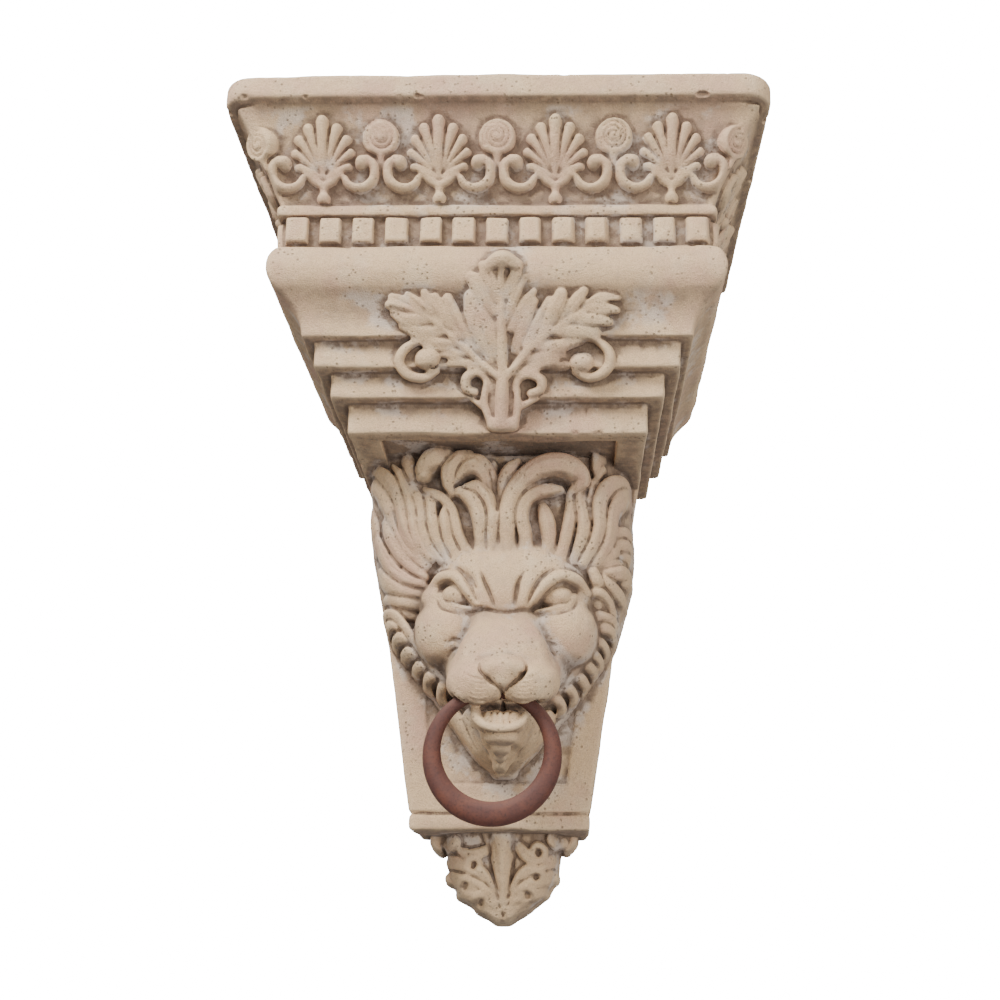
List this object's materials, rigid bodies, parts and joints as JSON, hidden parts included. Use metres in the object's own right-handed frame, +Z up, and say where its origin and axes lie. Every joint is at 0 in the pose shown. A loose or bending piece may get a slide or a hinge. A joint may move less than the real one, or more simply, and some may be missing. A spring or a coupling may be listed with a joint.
{
  "type": "wall bracket",
  "caption": "Cast stone wall bracket with a moulded shelf on a tapering block, a lion mask that holds a loose iron ring in its mouth, and a pendant leaf.",
  "frame": {"origin": "middle of the flat back, on the wall plane, halfway between the shelf's top and the pendant's tip", "axes": "+Z up, +Y into the wall, the front faces -Y, +X to the viewer's right"},
  "size_m": [0.472, 0.357, 0.69],
  "materials": {
    "cast_stone": "matt, fine sandy grain, worn, with pale bloom and grey dirt in the hollows",
    "rusted_iron": "matt brown rust with pale dust"
  },
  "bodies": {
    "bracket": {"bracket_body": "cast_stone"},
    "ring": {"iron_ring": "rusted_iron"}
  },
  "joints": [
    {"name": "ring_swing", "type": "hinge", "parent": "bracket", "child": "ring", "pos_m": [-0.002, -0.21, -0.161], "axis": [1, 0, 0], "range_deg": [-38, 3]}
  ]
}
